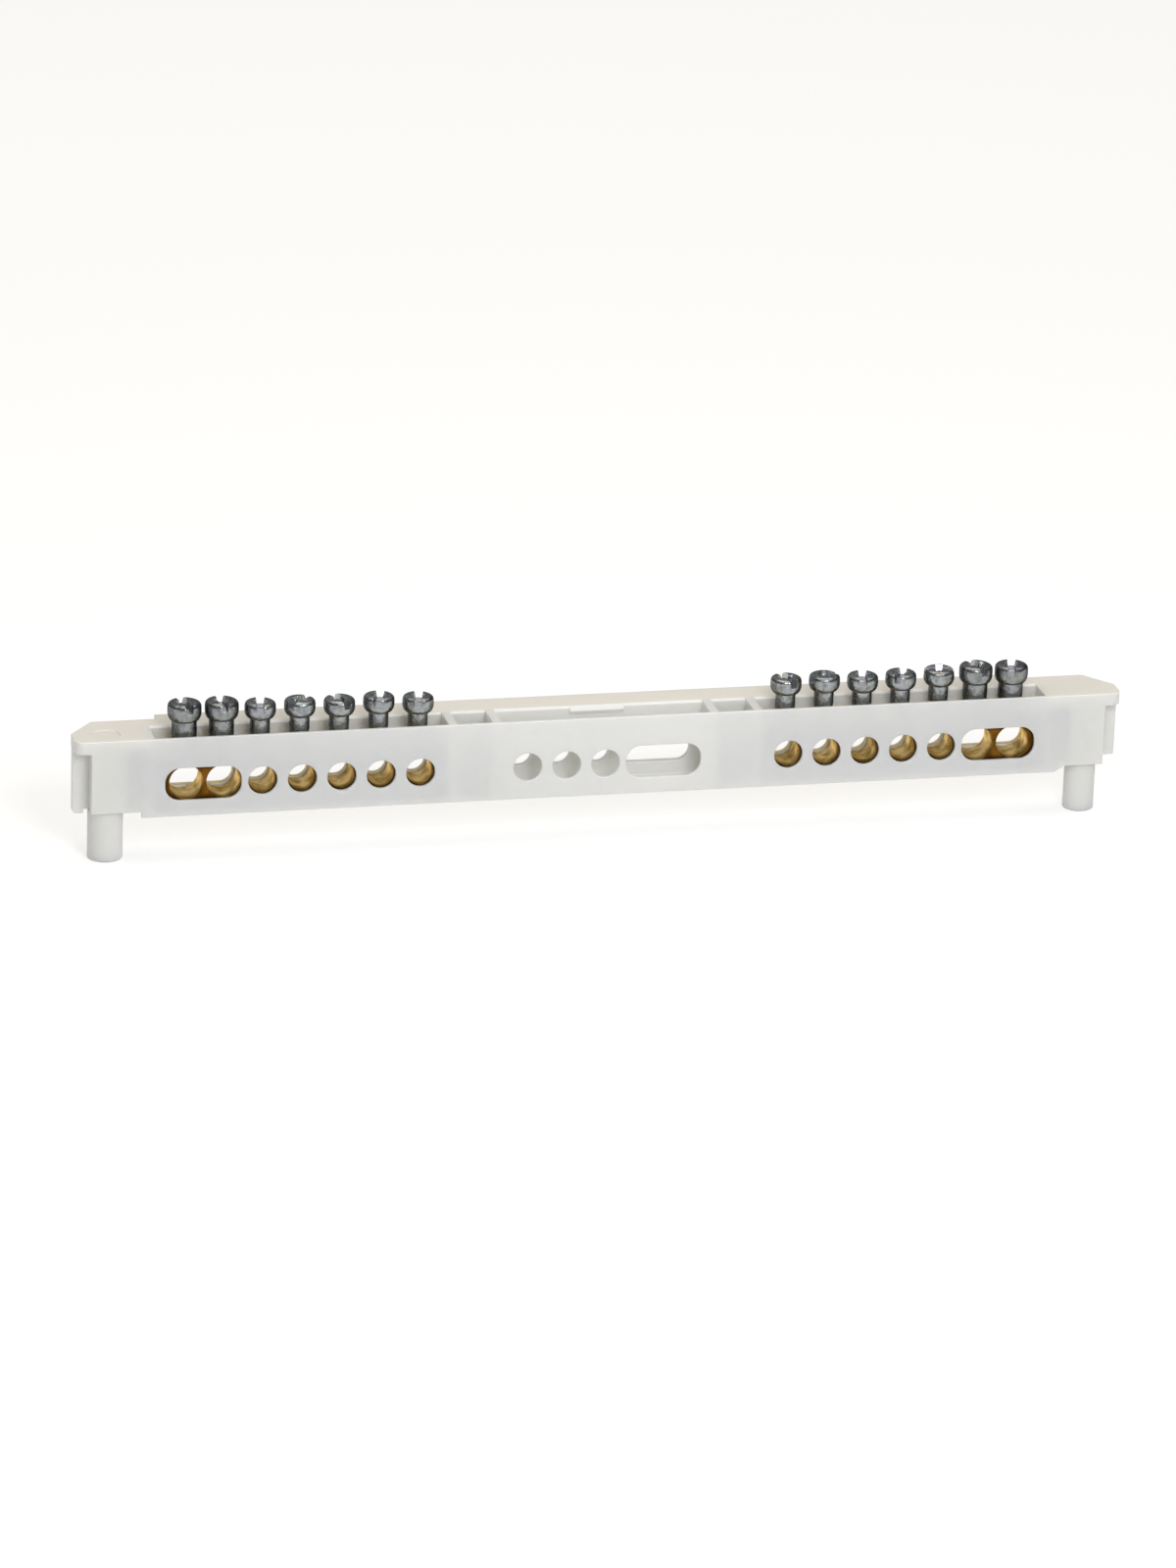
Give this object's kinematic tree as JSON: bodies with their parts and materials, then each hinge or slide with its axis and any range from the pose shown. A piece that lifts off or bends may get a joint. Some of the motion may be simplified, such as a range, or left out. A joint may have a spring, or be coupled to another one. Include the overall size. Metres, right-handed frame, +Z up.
{
  "type": "earth terminal bar",
  "caption": "Moulded carrier with locating pegs that holds two drilled brass bars with slotted clamp screws for earth conductors.",
  "frame": {"origin": "level with the tips of the two locating pegs, at the middle of the part's length and depth", "axes": "+X along the bar to the right as wired, -Y towards the wiring side, +Z up towards the screw heads"},
  "size_m": [0.2152, 0.0148, 0.0322],
  "materials": {
    "carrier": "pale grey moulded polyamide, satin",
    "brass": "drawn and drilled, lightly tarnished",
    "screw": "zinc plated, bluish"
  },
  "bodies": {
    "base": {"carrier": "carrier", "left_brass_bar": "brass", "right_brass_bar": "brass"},
    "left_screw_1": {"left_screw_1": "screw"},
    "left_screw_2": {"left_screw_2": "screw"},
    "left_screw_3": {"left_screw_3": "screw"},
    "left_screw_4": {"left_screw_4": "screw"},
    "left_screw_5": {"left_screw_5": "screw"},
    "left_screw_6": {"left_screw_6": "screw"},
    "left_screw_7": {"left_screw_7": "screw"},
    "right_screw_1": {"right_screw_1": "screw"},
    "right_screw_2": {"right_screw_2": "screw"},
    "right_screw_3": {"right_screw_3": "screw"},
    "right_screw_4": {"right_screw_4": "screw"},
    "right_screw_5": {"right_screw_5": "screw"},
    "right_screw_6": {"right_screw_6": "screw"},
    "right_screw_7": {"right_screw_7": "screw"}
  },
  "joints": [
    {"name": "left_screw_1_travel", "type": "slide", "parent": "base", "child": "left_screw_1", "axis": [0, 0, 1], "range_m": [-0.006, 0]},
    {"name": "left_screw_2_travel", "type": "slide", "parent": "base", "child": "left_screw_2", "axis": [0, 0, 1], "range_m": [-0.006, 0]},
    {"name": "left_screw_3_travel", "type": "slide", "parent": "base", "child": "left_screw_3", "axis": [0, 0, 1], "range_m": [-0.0052, 0]},
    {"name": "left_screw_4_travel", "type": "slide", "parent": "base", "child": "left_screw_4", "axis": [0, 0, 1], "range_m": [-0.0052, 0]},
    {"name": "left_screw_5_travel", "type": "slide", "parent": "base", "child": "left_screw_5", "axis": [0, 0, 1], "range_m": [-0.0052, 0]},
    {"name": "left_screw_6_travel", "type": "slide", "parent": "base", "child": "left_screw_6", "axis": [0, 0, 1], "range_m": [-0.0052, 0]},
    {"name": "left_screw_7_travel", "type": "slide", "parent": "base", "child": "left_screw_7", "axis": [0, 0, 1], "range_m": [-0.0052, 0]},
    {"name": "right_screw_1_travel", "type": "slide", "parent": "base", "child": "right_screw_1", "axis": [0, 0, 1], "range_m": [-0.0052, 0]},
    {"name": "right_screw_2_travel", "type": "slide", "parent": "base", "child": "right_screw_2", "axis": [0, 0, 1], "range_m": [-0.0052, 0]},
    {"name": "right_screw_3_travel", "type": "slide", "parent": "base", "child": "right_screw_3", "axis": [0, 0, 1], "range_m": [-0.0052, 0]},
    {"name": "right_screw_4_travel", "type": "slide", "parent": "base", "child": "right_screw_4", "axis": [0, 0, 1], "range_m": [-0.0052, 0]},
    {"name": "right_screw_5_travel", "type": "slide", "parent": "base", "child": "right_screw_5", "axis": [0, 0, 1], "range_m": [-0.0052, 0]},
    {"name": "right_screw_6_travel", "type": "slide", "parent": "base", "child": "right_screw_6", "axis": [0, 0, 1], "range_m": [-0.006, 0]},
    {"name": "right_screw_7_travel", "type": "slide", "parent": "base", "child": "right_screw_7", "axis": [0, 0, 1], "range_m": [-0.006, 0]}
  ]
}
